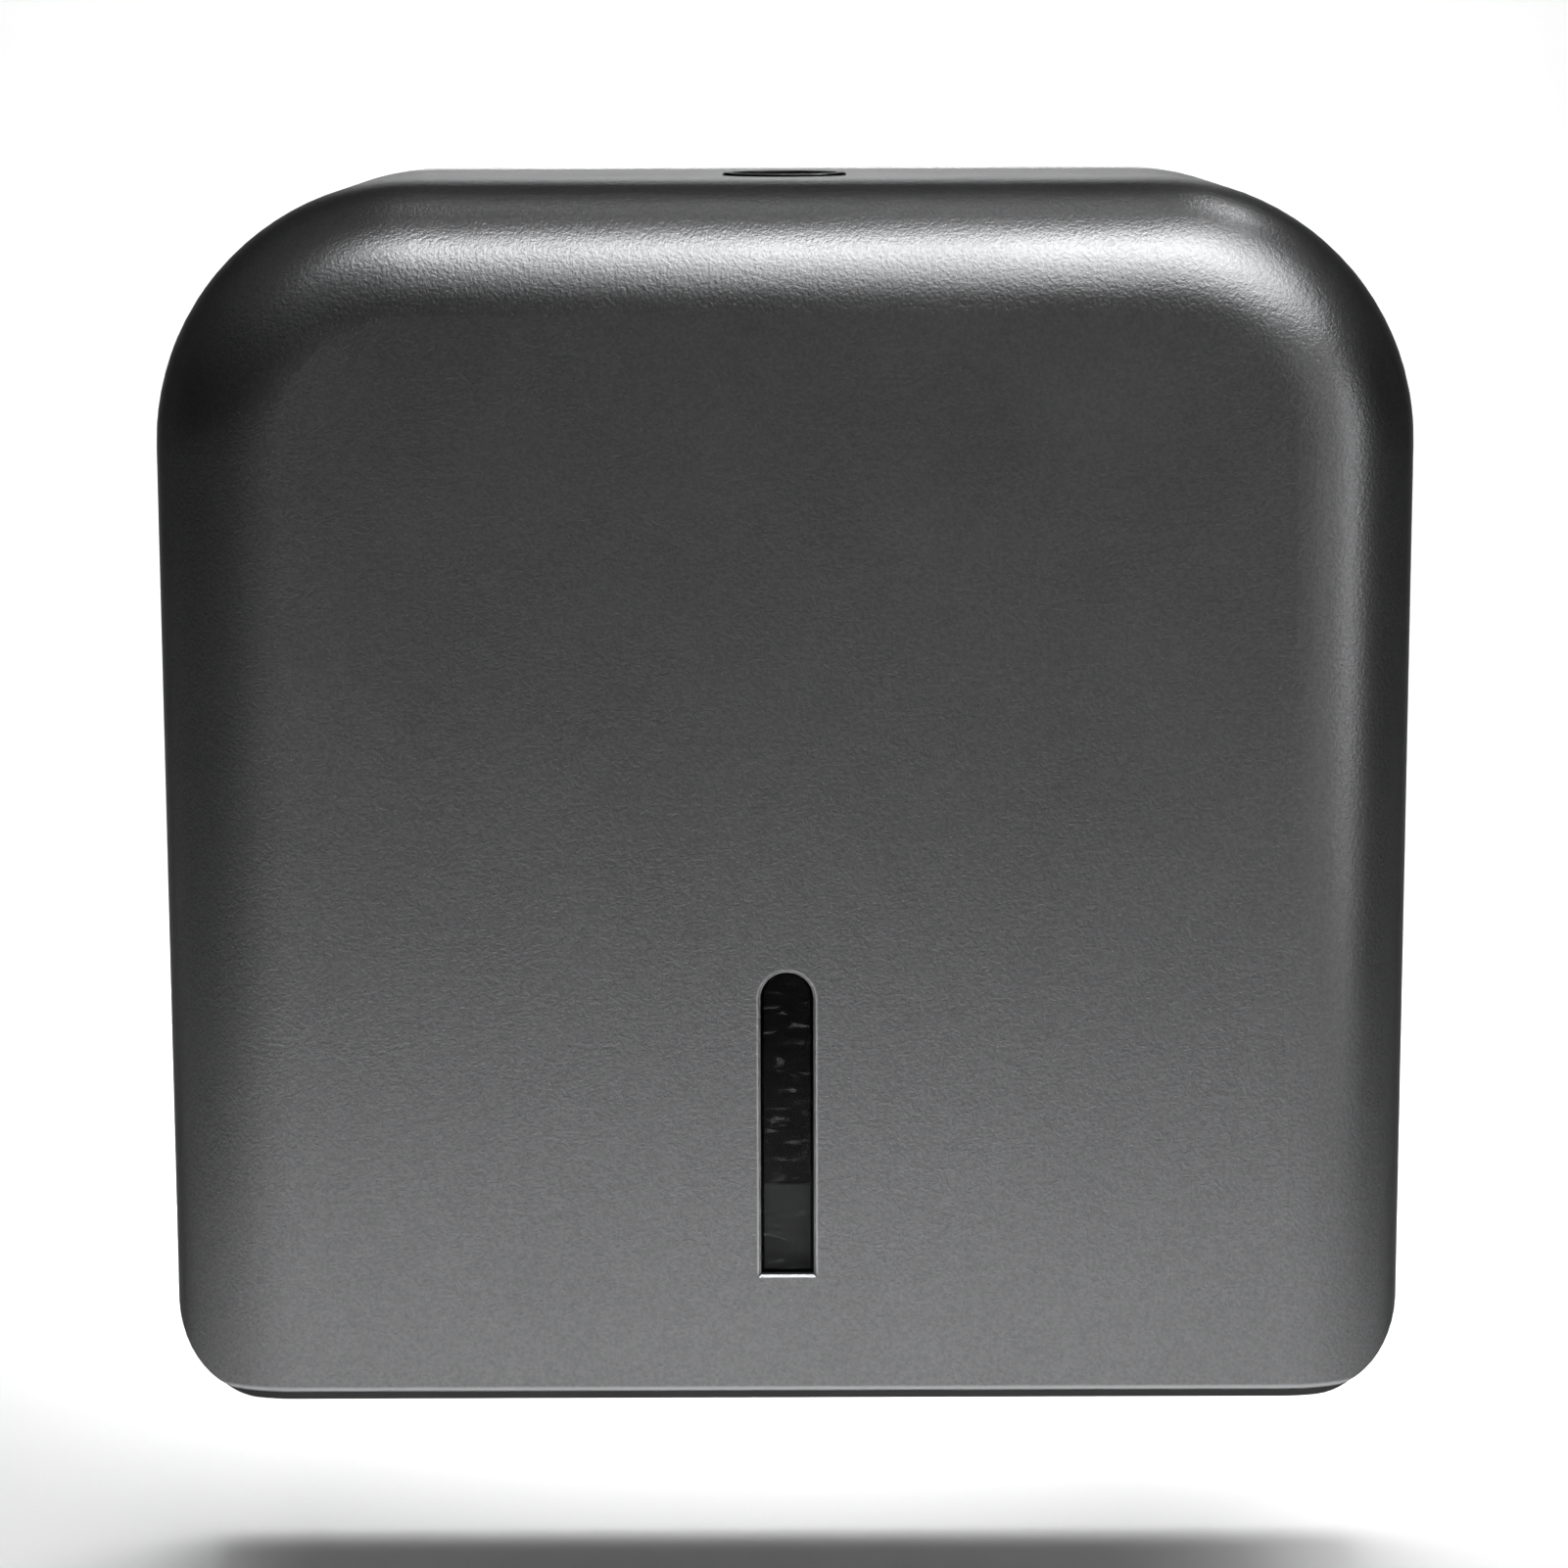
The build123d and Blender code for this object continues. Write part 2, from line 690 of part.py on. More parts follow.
washer = rod_z(washer_radius, 0, lock_y, (cam_top, washer_top))
washer -= rod_z(journal_radius + insert_gap, 0, lock_y, (cam_top - over, washer_top + over))
cam_screw_length = cam_thick + cam_screw_depth - screw_end_gap
cam_screw = Pos(0, lock_y, cam_bottom) * Rot(180, 0, 0) * screw(
    cam_screw_length, cam_screw_shank, cam_screw_head, cam_screw_head_thick
)


def latch_keeper():
    """Steel bracket on the back plate whose turned-down tab the hook goes behind."""
    tab_rear = lock_y + math.sqrt((hook_inner - keeper_hook_gap) ** 2 - keeper_half ** 2)
    tab = (tab_rear - keeper_thick, tab_rear)
    arm = (tab_rear - keeper_thick, y_plate)
    body = span_box((-keeper_half, keeper_half), arm, (keeper_top - keeper_thick, keeper_top))
    body += span_box((-keeper_half, keeper_half), tab, (cam_top + keeper_tab_gap, keeper_top))
    body += span_box(
        (-keeper_flange_half, keeper_flange_half),
        (y_plate - bracket_flange_thick, y_plate),
        (keeper_flange_low, keeper_top),
    )
    for x in (-keeper_screw_x, keeper_screw_x):
        body -= rod_y(screw_shank + insert_gap, x, wall_screw_hole, keeper_screw_z)
    return body


nodes["lock_cup"] = [lock_cup()]
nodes["lock_nut"] = [lock_nut()]
nodes["lock_rotor"] = [lock_rotor()]
nodes["lock_washer"] = [washer]
nodes["lock_cam"] = [lock_cam()]
nodes["cam_screw"] = [cam_screw]
nodes["latch_keeper"] = [latch_keeper()]
nodes["keeper_screws"] = flange_screws(keeper_screw_places)

os.makedirs("parts", exist_ok=True)
for name, pieces in nodes.items():
    save(name, *pieces)
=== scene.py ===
# %% [markdown]
# # A wall dispenser for folded paper towels
#
# This lesson dresses a finished engineering model in Blender. The shapes come in as a fixed
# frame, in metres: x runs to the right, y runs back to the wall and z runs up. The lesson
# gives every piece the finish of the real object, sets up a plain studio round it, and puts
# the camera where the photograph was taken.

# %% Load the model
import math

import bpy
import numpy as np
from mathutils import Matrix, Vector

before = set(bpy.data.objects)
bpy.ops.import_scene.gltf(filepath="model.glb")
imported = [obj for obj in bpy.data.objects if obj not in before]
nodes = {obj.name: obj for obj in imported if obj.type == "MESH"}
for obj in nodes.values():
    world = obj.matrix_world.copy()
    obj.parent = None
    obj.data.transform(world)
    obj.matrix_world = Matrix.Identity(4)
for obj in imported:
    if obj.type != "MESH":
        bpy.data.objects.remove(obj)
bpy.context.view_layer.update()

# %% [markdown]
# ## A plain finish
#
# Every finish below starts from Blender's Principled shader, and what is the same all over a
# piece is set on the shader itself. Patterns are joined to it afterwards. They could follow a
# flat map of the surface, but the pieces have none, so they read the piece's own object
# coordinates. Those are metres here, and the pattern stays on the piece when it swings.

# %% A plain finish and its coordinates
def new_finish(name, colour, roughness, metallic=0.0):
    """A material with its plain values set on the shader itself."""
    material = bpy.data.materials.new(name)
    material.use_nodes = True
    shader = material.node_tree.nodes["Principled BSDF"]
    shader.inputs["Base Color"].default_value = (*colour, 1.0)
    shader.inputs["Roughness"].default_value = roughness
    shader.inputs["Metallic"].default_value = metallic
    return material, shader


def place_on_piece(material, stretch=(1.0, 1.0, 1.0)):
    """Object coordinates in metres, each times its stretch, so 0.1 makes a pattern ten times
    as long along that axis."""
    tree = material.node_tree
    coordinates = tree.nodes.new("ShaderNodeTexCoord")
    mapping = tree.nodes.new("ShaderNodeMapping")
    mapping.inputs["Scale"].default_value = stretch
    tree.links.new(coordinates.outputs["Object"], mapping.inputs["Vector"])
    return mapping.outputs["Vector"]


def axes(material, place):
    """The three coordinates of a place, each as a socket."""
    split = material.node_tree.nodes.new("ShaderNodeSeparateXYZ")
    material.node_tree.links.new(place, split.inputs["Vector"])
    return split.outputs["X"], split.outputs["Y"], split.outputs["Z"]


def plug(material, shader, **sockets):
    """Join pattern outputs to the shader's inputs by name, with _ for a space."""
    for name, output in sockets.items():
        material.node_tree.links.new(output, shader.inputs[name.replace("_", " ")])


print("helpers for a plain finish: new_finish, place_on_piece, axes, plug")

# %% [markdown]
# ## Patterns
#
# A noise makes the grain, flow or scuffs of a surface. Most of its values lie near its middle,
# so a remap spreads that middle over the range that a colour or a gloss needs. A blend turns
# the result into colour, and a bump turns it into tilted light. An image could do the same,
# but a noise has no edges and no fixed sharpness.

# %% Noise, remap, blend and bump
noise_middle = (0.3, 0.7)
rising, falling = (0.0, 1.0), (1.0, 0.0)
mix_colours, mix_result = (6, 7), 2


def noise(material, place, scale, detail=2.0, roughness=0.5):
    """Smooth random values from 0 to 1 with lumps about 1/scale metres across."""
    texture = material.node_tree.nodes.new("ShaderNodeTexNoise")
    texture.inputs["Scale"].default_value = scale
    texture.inputs["Detail"].default_value = detail
    texture.inputs["Roughness"].default_value = roughness
    material.node_tree.links.new(place, texture.inputs["Vector"])
    return texture.outputs["Fac"]


def remap(material, value, source, target):
    """Carry a value from one range of numbers to another, without going past its ends."""
    node = material.node_tree.nodes.new("ShaderNodeMapRange")
    node.inputs["From Min"].default_value, node.inputs["From Max"].default_value = source
    node.inputs["To Min"].default_value, node.inputs["To Max"].default_value = target
    material.node_tree.links.new(value, node.inputs["Value"])
    return node.outputs["Result"]


def blend_colour(material, factor, first, second):
    """First times 1 less the factor, plus second times the factor, for two colours. A Mix
    node has sockets for each kind of data, so its colour sockets are picked by number."""
    tree = material.node_tree
    node = tree.nodes.new("ShaderNodeMix")
    node.data_type = "RGBA"
    tree.links.new(factor, node.inputs["Factor"])
    for number, colour in zip(mix_colours, (first, second)):
        if isinstance(colour, tuple):
            node.inputs[number].default_value = (*colour, 1.0)
        else:
            tree.links.new(colour, node.inputs[number])
    return node.outputs[mix_result]


def bump(material, height, distance, strength=1.0, under=None):
    """Tilt the surface by the slope of a height pattern. Distance is its depth in metres."""
    node = material.node_tree.nodes.new("ShaderNodeBump")
    node.inputs["Distance"].default_value = distance
    node.inputs["Strength"].default_value = strength
    material.node_tree.links.new(height, node.inputs["Height"])
    if under is not None:
        material.node_tree.links.new(under, node.inputs["Normal"])
    return node.outputs["Normal"]


print("a noise's middle range:", noise_middle)

# %% [markdown]
# ## Sums in a shader
#
# Some finishes end at an edge, so the shader has to measure how far away that edge is. A Math
# node works out one sum. Written one by one they would hide the formula, so a small function
# makes the node and returns its result, and formulas read nearly as they do on paper.

# %% Sums
def calculator(material):
    """A short way to write sums on sockets or numbers: calc("ADD", a, b) is a plus b."""
    def calc(operation, first, second=0.0):
        node = material.node_tree.nodes.new("ShaderNodeMath")
        node.operation = operation
        for socket, value in zip(node.inputs, (first, second)):
            if isinstance(value, (int, float)):
                socket.default_value = value
            else:
                material.node_tree.links.new(value, socket)
        return node.outputs["Value"]
    return calc


def rounded_corner(calc, across, upward, radius):
    """Distance outside a corner of the given radius. Across and upward are measured from the
    corner's centre: the length of what sticks out of both, less the radius."""
    wide = calc("MAXIMUM", across, 0.0)
    tall = calc("MAXIMUM", upward, 0.0)
    squares = calc("ADD", calc("MULTIPLY", wide, wide), calc("MULTIPLY", tall, tall))
    deepest = calc("MINIMUM", calc("MAXIMUM", across, upward), 0.0)
    return calc("SUBTRACT", calc("ADD", calc("SQRT", squares), deepest), radius)


print("helpers for sums: calculator, rounded_corner")

# %% [markdown]
# ## Where the paint goes
#
# The cover is moulded in black and sprayed from outside, so the paint ends at its edges and
# the hollow side stays bare. One mesh then needs two finishes. Splitting the mesh would work,
# but a distance is neater: the shader works out how deep a point lies under the cover's outer
# form, from the same sizes as the model, and paints only the first millimetre.

# %% Depth under the cover's skin
half_width, height = 0.1375, 0.268
top_corner, front_round, low_corner = 0.058, 0.028, 0.019
cover_front, cover_low = -0.0525, 0.003


def distance_outside(calc, x, y, z):
    """Distance outside the cover's form: its outline first, then the front edge's round, and
    the larger of that and the distance outside the two low corners."""
    side = calc("ABSOLUTE", x)
    outline = rounded_corner(
        calc,
        calc("SUBTRACT", side, half_width - top_corner),
        calc("SUBTRACT", z, height - top_corner),
        top_corner,
    )
    skin = rounded_corner(
        calc,
        calc("ADD", outline, front_round),
        calc("SUBTRACT", cover_front + front_round, y),
        front_round,
    )
    foot = rounded_corner(
        calc,
        calc("SUBTRACT", side, half_width - low_corner),
        calc("SUBTRACT", cover_low + low_corner, z),
        low_corner,
    )
    return calc("MAXIMUM", skin, foot)


print("cover in mm:", round(2000 * half_width), "wide,", round(1000 * (height - cover_low)), "high")

# %% [markdown]
# ## Where the window is
#
# The level window stands in an upright slot with a round top and a square foot. Its edge is
# needed twice, for the rubbed paint round it and for the dark border of the window in it.

# %% Distance from the slot
slot_half, slot_low, slot_shoulder = 0.0058, 0.0297, 0.0917


def distance_from_slot(calc, x, z):
    """Distance outside the slot: how far x and the height above the shoulder reach past half
    its width, or how far z lies below its foot, whichever is more."""
    above = calc("MAXIMUM", calc("SUBTRACT", z, slot_shoulder), 0.0)
    squares = calc("ADD", calc("MULTIPLY", x, x), calc("MULTIPLY", above, above))
    beside = calc("SUBTRACT", calc("SQRT", squares), slot_half)
    return calc("MAXIMUM", beside, calc("SUBTRACT", slot_low, z))


slot_height = slot_shoulder + slot_half - slot_low
print("slot in mm:", round(2000 * slot_half, 1), "wide,", round(1000 * slot_height, 1), "high")

# %% [markdown]
# ## Rubbed edges and painted highlight
#
# Cloths rub the paint thin round the window and along the cover's lower edge, so it is paler there.
# The pale band is also a painted highlight: it stands in for the light that these rounded edges
# catch, so it is partly wear and partly painted light. The wear could be painted by hand, but the
# same distances give it: full at the edge, and gone within two millimetres of it. The fades are in
# metres from their edge.

# %% Wear and painted highlight
slot_fade, sill_fade, low_fade = (0.0006, 0.0010), 0.0006, (0.0008, 0.0016)
# Full strength of the pale edge, which is partly wear and partly a painted highlight.
full_wear_and_highlight = 0.8


def rubbed_and_highlit_edges(material, calc, x, z):
    """Wear and painted highlight from 0 to full: the larger of the slot's, above its foot, and the
    lower edge's.
    """
    slot_edge = remap(material, distance_from_slot(calc, x, z), slot_fade, falling)
    above_sill = remap(material, z, (slot_low, slot_low + sill_fade), rising)
    slot_edge = calc("MULTIPLY", slot_edge, above_sill)
    low_edge = remap(material, z, tuple(cover_low + fade for fade in low_fade), falling)
    return calc("MULTIPLY", calc("MAXIMUM", slot_edge, low_edge), full_wear_and_highlight)


print("wear ends in mm from the slot:", 1000 * slot_fade[1], "lower edge:", 1000 * low_fade[1])

# %% [markdown]
# ## Satin graphite paint
#
# The paint is a satin metallic: fine aluminium flakes under a dull clear coat. It mirrors soft
# light in broad bands and shows a grain of about a millimetre. A fully metallic shader with a
# dark base gives the bands, two sizes of noise tilt the surface as the flakes do, and a slow
# noise varies the gloss a little, as a sprayed coat always does. The moulded front is not
# quite flat either: a crown of two millimetres is too slight to see as a shape, but it decides
# how fast the reflection of the floor fades towards the top. A bump from height squared gives
# it.

# %% Paint
graphite = (0.185, 0.187, 0.190)
dark_flakes, light_flakes = (0.165, 0.166, 0.169), (0.214, 0.216, 0.219)
# The pale edge colour is partly rubbed paint and partly a painted highlight.
bare_plastic, rubbed_and_highlight_paint = (0.016, 0.016, 0.017), (0.50, 0.50, 0.51)
coat_edge = (-0.0013, -0.0009)
coat_roughness, bare_extra = (0.30, 0.34), 0.12
flake_scale, fine_scale, cloud_scale = 1150.0, 2400.0, 28.0
flake_depth, fine_depth = 0.00012, 0.00005
crown_middle, crown_radius = 0.13, 3.5


def satin_graphite():
    """Metallic paint on the skin, bare moulding under it, and along two edges a pale paint that is
    partly rubbed wear and partly a painted highlight. The crown's height is minus the square of the
    height above its middle, over two radii."""
    material, shader = new_finish("satin_graphite", graphite, 0.32, 1.0)
    shader.inputs["Specular Tint"].default_value = (0.22, 0.22, 0.22, 1.0)
    place = place_on_piece(material)
    calc = calculator(material)
    x, y, z = axes(material, place)

    flakes = noise(material, place, flake_scale, 2.0, 0.6)
    fine = noise(material, place, fine_scale, 1.0)
    cloud = noise(material, place, cloud_scale, 3.0)
    grain = remap(material, flakes, noise_middle, rising)
    colour = blend_colour(material, grain, dark_flakes, light_flakes)
    # Painted highlight and wear: paler paint along the slot's rim, its sill and the cover's lower
    # edge.
    wear_and_highlight = rubbed_and_highlit_edges(material, calc, x, z)
    colour = blend_colour(material, wear_and_highlight, colour, rubbed_and_highlight_paint)

    painted = remap(material, distance_outside(calc, x, y, z), coat_edge, rising)
    colour = blend_colour(material, painted, bare_plastic, colour)
    rough = remap(material, cloud, noise_middle, coat_roughness)
    rough = calc("ADD", rough, remap(material, painted, rising, (bare_extra, 0.0)))

    up = calc("SUBTRACT", z, crown_middle)
    crown = calc("MULTIPLY", calc("MULTIPLY", up, up), -0.5 / crown_radius)
    normal = bump(material, crown, 1.0)
    normal = bump(material, flakes, flake_depth, 0.7, under=normal)
    normal = bump(material, fine, fine_depth, 0.8, under=normal)
    plug(material, shader, Base_Color=colour, Roughness=rough, Metallic=painted, Normal=normal)
    return material


paint = satin_graphite()
print("paint nodes:", len(paint.node_tree.nodes))

# %% [markdown]
# ## Lint
#
# Paper towels shed lint, so the back plate has a few pale flecks where it faces the towels,
# which the photograph shows faintly through the window. They could be small pieces, but at
# this size a noise that keeps only its highest crests does as well. The surface's own
# direction keeps them off the plate's back and rims.

# %% Lint on faces that look forward
lint_colour = (0.42, 0.42, 0.41)
looks_forward, fleck_crests, most_lint = (-0.9, -0.6), (0.66, 0.74), 0.35


def lint_on_front(material):
    """Sparse level flecks, kept to faces that look forward, towards y below 0: how far
    forward a face looks, times the noise's crests."""
    facing = material.node_tree.nodes.new("ShaderNodeTexCoord").outputs["Normal"]
    forward = remap(material, axes(material, facing)[1], looks_forward, falling)
    flecks = noise(material, place_on_piece(material, (1.0, 1.0, 3.0)), 150.0, 4.0, 0.7)
    crests = remap(material, flecks, fleck_crests, (0.0, most_lint))
    return calculator(material)("MULTIPLY", forward, crests)


print("lint colour:", lint_colour)

# %% [markdown]
# ## Black moulding
#
# The wall unit is injection-moulded in black ABS. Its tool is spark-eroded, which leaves a
# fine, even texture that scatters light softly. A noise near a third of a millimetre gives
# the texture, and a slow one the faint flow marks of the moulding.

# %% Black mouldings
texture_scale, flow_scale = 2600.0, 35.0
texture_depth = 0.00005


def moulded_plastic(name, dark, light, roughness, lint=False):
    """Moulded plastic between two near colours, with a spark-eroded texture."""
    material, shader = new_finish(name, dark, roughness)
    place = place_on_piece(material)
    texture = noise(material, place, texture_scale, 2.0, 0.6)
    flow = noise(material, place, flow_scale, 3.0)
    colour = blend_colour(material, remap(material, flow, noise_middle, rising), dark, light)
    if lint:
        colour = blend_colour(material, lint_on_front(material), colour, lint_colour)
    rough = remap(material, flow, noise_middle, (roughness - 0.05, roughness + 0.06))
    normal = bump(material, texture, texture_depth, 0.5)
    plug(material, shader, Base_Color=colour, Roughness=rough, Normal=normal)
    return material


black, soft_black = (0.011, 0.011, 0.0115), (0.017, 0.017, 0.0175)
black_plastic = moulded_plastic("black_moulding", black, soft_black, 0.44)
linty_plastic = moulded_plastic("black_moulding_with_lint", black, soft_black, 0.44, lint=True)
print("black mouldings:", black_plastic.name, linty_plastic.name)

# %% [markdown]
# ## Grey mouldings
#
# The mouth's lining is dark grey. The apron behind the window is paler, and the photograph
# shows its top as a lighter patch low in the window. The hinge's bearings are a slippery
# plastic, which is left grey and has a little more gloss.

# %% Grey mouldings
grey_plastic = moulded_plastic("grey_moulding", (0.070, 0.070, 0.072), (0.088, 0.088, 0.090), 0.42)
apron_plastic = moulded_plastic("apron_moulding", (0.20, 0.20, 0.20), (0.25, 0.25, 0.25), 0.42)
bush_plastic = moulded_plastic("grey_bearing", (0.15, 0.15, 0.15), (0.19, 0.19, 0.19), 0.38)
print("grey mouldings:", grey_plastic.name, apron_plastic.name, bush_plastic.name)

# %% [markdown]
# ## Metal
#
# The lock's rotor is cast in zinc and plated, so it is brighter than the paint but still satin.
# Below their top faces, its key pockets and its cup are painted black, a painted shade for these
# deep hollows, so the lock shows dark. The screws, pins and keeper are zinc-plated steel, with the
# fine streaks that rolling leaves. All are one function: streaks come from a noise that is drawn
# out along one axis, and the painted shade is a black band between two heights.

# %% Metals
streak_scale, spot_scale, streak_depth = 2600.0, 240.0, 0.000004
spot_dulling, shade_fade = 0.85, 0.0002


def plated_metal(name, colour, roughness, streak, shade_heights=None, edge=1.0):
    """Plated metal with fine streaks, painted black between two given heights as painted shade for
    a hollow. Edge scales the mirror light that the metal gives at a flat angle."""
    material, shader = new_finish(name, colour, roughness, 1.0)
    shader.inputs["Specular Tint"].default_value = (edge, edge, edge, 1.0)
    place = place_on_piece(material)
    lines = noise(material, place_on_piece(material, streak), streak_scale, 3.0, 0.6)
    spots = noise(material, place, spot_scale, 2.0)
    dull = tuple(spot_dulling * channel for channel in colour)
    coat = blend_colour(material, remap(material, spots, (0.35, 0.7), rising), colour, dull)
    rough = remap(material, lines, noise_middle, (roughness - 0.04, roughness + 0.05))
    # Painted shade: black in the hollow, between the two heights.
    if shade_heights:
        low, high = shade_heights
        z = axes(material, place)[2]
        below_top = remap(material, z, (high - shade_fade, high), falling)
        above_foot = remap(material, z, (low, low + shade_fade), rising)
        hollow_shade = calculator(material)("MULTIPLY", below_top, above_foot)
        coat = blend_colour(material, hollow_shade, coat, black)
    normal = bump(material, lines, streak_depth, 0.3)
    plug(material, shader, Base_Color=coat, Roughness=rough, Normal=normal)
    return material


zinc, dark_zinc, pale_steel = (0.34, 0.34, 0.35), (0.12, 0.12, 0.12), (0.58, 0.58, 0.58)
even, along_z = (1.0, 1.0, 1.0), (1.0, 1.0, 0.08)
# Heights of the painted shade in the cup and in the rotor's key pockets.
cup_shade_heights, pocket_shade_heights = (0.2535, 0.2684), (0.2600, 0.2672)
cup_metal = plated_metal("dark_plated_cup", dark_zinc, 0.30, even, cup_shade_heights, 0.15)
rotor_metal = plated_metal("plated_rotor", zinc, 0.30, even, pocket_shade_heights)
steel = plated_metal("plated_steel", pale_steel, 0.28, along_z)
print("metals:", cup_metal.name, rotor_metal.name, steel.name)

# %% [markdown]
# ## Rubber
#
# The two bumpers that stop the closing cover are black rubber. Rubber is moulded too, so the
# same function makes it, only duller.

# %% Rubber
rubber = moulded_plastic("rubber", (0.018, 0.018, 0.018), (0.028, 0.028, 0.028), 0.75)
print("rubber:", rubber.name)

# %% [markdown]
# ## Clear window
#
# The level window is clear moulded plastic, recessed behind the cover's front, with the dark
# hollow of the dispenser behind it. A real transmission shader lets that dark show through.
# Its mirror image of the pale floor would hide it, so the head-on reflection is kept low.
# The photograph shows faint scuffs across the window: a noise squeezed along z, kept to its highest
# crests, makes short level streaks that are a little less clear. The window's raised pad ends just
# within the slot, and a thin black band painted along the slot's edge is a painted shade for the
# gap and the slot's side walls there.

# %% Window
smoke_tint = (0.52, 0.53, 0.53)
# Where the painted shade along the slot's edge begins and ends, in metres from that edge.
shade_band_edge, scuff_crests = (-0.0008, -0.0006), (0.56, 0.68)
scuff_loss, scuff_haze = 0.12, 0.22


def clear_window():
    """See-through tinted plastic, painted black in a thin band of painted shade along the slot's
    edge. Its clearness is 1 less the scuffs away from that band, and its roughness a slow smear
    plus the scuffs."""
    material, shader = new_finish("clear_window", smoke_tint, 0.03)
    shader.inputs["Transmission Weight"].default_value = 1.0
    shader.inputs["IOR"].default_value = 1.49
    shader.inputs["Specular Tint"].default_value = (0.08, 0.08, 0.08, 1.0)
    place = place_on_piece(material)
    calc = calculator(material)
    x, _, z = axes(material, place)

    # Painted shade: black along the slot's edge, where the side walls fall dark.
    shade_band = remap(material, distance_from_slot(calc, x, z), shade_band_edge, rising)
    colour = blend_colour(material, shade_band, smoke_tint, black)
    crests = noise(material, place_on_piece(material, (1.0, 1.0, 3.5)), 220.0, 5.0, 0.65)
    streaks = remap(material, crests, scuff_crests, rising)
    scuffs = calc("MULTIPLY", streaks, calc("SUBTRACT", 1.0, shade_band))
    clear = calc("SUBTRACT", 1.0, calc("MULTIPLY", scuffs, scuff_loss))
    smear = noise(material, place, 60.0, 3.0)
    rough = remap(material, smear, (0.4, 0.7), (0.01, 0.03))
    rough = calc("ADD", rough, calc("MULTIPLY", streaks, scuff_haze))
    plug(material, shader, Base_Color=colour, Transmission_Weight=clear, Roughness=rough)
    return material


window = clear_window()
print("window nodes:", len(window.node_tree.nodes))

# %% [markdown]
# ## Dress the frame
#
# Every node keeps its place and its mesh, and gets the finish of what it is made of. The
# special ones are named one by one. The rest are steel where their name says so, and black
# moulding otherwise.

# %% Give each node its finish
finishes = {
    "back_plate": linty_plastic,
    "front_cover": paint,
    "window_lens": window,
    "mouth_insert": grey_plastic,
    "front_apron": apron_plastic,
    "cover_bumpers": rubber,
    "right_hinge_bush": bush_plastic,
    "left_hinge_bush": bush_plastic,
    "lock_cup": cup_metal,
    "lock_nut": cup_metal,
    "lock_rotor": rotor_metal,
}
metal_words = ("screw", "pin", "washer", "cam", "keeper")
for name, piece in nodes.items():
    plain = steel if any(word in name for word in metal_words) else black_plastic
    piece.data.materials.clear()
    piece.data.materials.append(finishes.get(name, plain))
print("dressed:", len(nodes), "pieces,", len(finishes), "of them by name")

# %% [markdown]
# ## Floor and backdrop
#
# A plain pale floor and a backdrop behind it, both pale by their own colour. They are one
# sheet, because a corner between two would show as a line: a side profile that runs level, then
# up a quarter circle, then straight up. The dispenser hangs on a wall in use, and its open
# cover drops below its underside. So the floor lies just under the lowest point that the cover
# reaches, and the cover never touches it.

# %% Floor and backdrop
floor_height, floor_reach, backdrop_top = -0.0635, 6.0, 2.2
sweep_start, sweep_radius = 1.2, 0.6
longest_smooth_step = 0.05


def stage_sheet(name, profile, reach):
    """A side profile of points (y, z), carried along x from minus reach to reach. It is
    shaded smooth where the steps of the profile are short."""
    across = np.array([-reach, reach])
    y, z = np.array(profile).T
    grid = np.stack(np.broadcast_arrays(across[:, None], y[None, :], z[None, :]), -1)
    count = len(profile)
    low = np.arange(count - 1)
    faces = np.stack([low, low + count, low + count + 1, low + 1], 1)
    mesh = bpy.data.meshes.new(name)
    mesh.from_pydata(grid.reshape(-1, 3).tolist(), [], faces.tolist())
    steps = np.hypot(np.diff(y), np.diff(z))
    mesh.polygons.foreach_set("use_smooth", steps < longest_smooth_step)
    sheet = bpy.data.objects.new(name, mesh)
    bpy.context.scene.collection.objects.link(sheet)
    return sheet


turn = np.linspace(0, math.pi / 2, 24)
sweep_y = sweep_start + sweep_radius * np.sin(turn)
sweep_z = floor_height + sweep_radius * (1 - np.cos(turn))
front_edge = (-floor_reach, floor_height)
top_edge = (sweep_start + sweep_radius, backdrop_top)
floor = stage_sheet("floor", [front_edge, *zip(sweep_y, sweep_z), top_edge], floor_reach)
floor_material, floor_shader = new_finish("pale_floor", (0.93, 0.93, 0.93), 0.9)
floor_shader.inputs["Specular IOR Level"].default_value = 0.0
floor.data.materials.append(floor_material)
print("floor sheet faces:", len(floor.data.polygons))

# %% [markdown]
# ## Lamps
#
# A satin metal shows its lamps, so each lamp answers one band in the photograph. The lamps
# are flat panels that the camera doesn't see. Most spread narrowly, because the dispenser's
# sides mirror the floor beside it, and the photograph shows them dark.
#
# The first three serve the front. The large soft panel hangs above the camera, a little to
# the right, and makes the bright band on the top edge. The front mirrors the floor, so one
# panel lights the floor close in front, which shows low down, and one the floor behind the
# camera, which shows high up.

# %% Lamps for the front
def soft_light(name, place, aim, size, power, spread=180.0):
    """A rectangular lamp at a place, facing the point it aims at. Size is its width and
    height in metres, power is in watts, and spread is the angle of its cone in degrees."""
    lamp = bpy.data.lights.new(name, "AREA")
    lamp.shape = "RECTANGLE"
    lamp.size, lamp.size_y = size
    lamp.energy = power
    lamp.spread = math.radians(spread)
    light = bpy.data.objects.new(name, lamp)
    light.location = place
    light.rotation_euler = (Vector(aim) - Vector(place)).to_track_quat("-Z", "Y").to_euler()
    light.visible_camera = False
    bpy.context.scene.collection.objects.link(light)
    return light


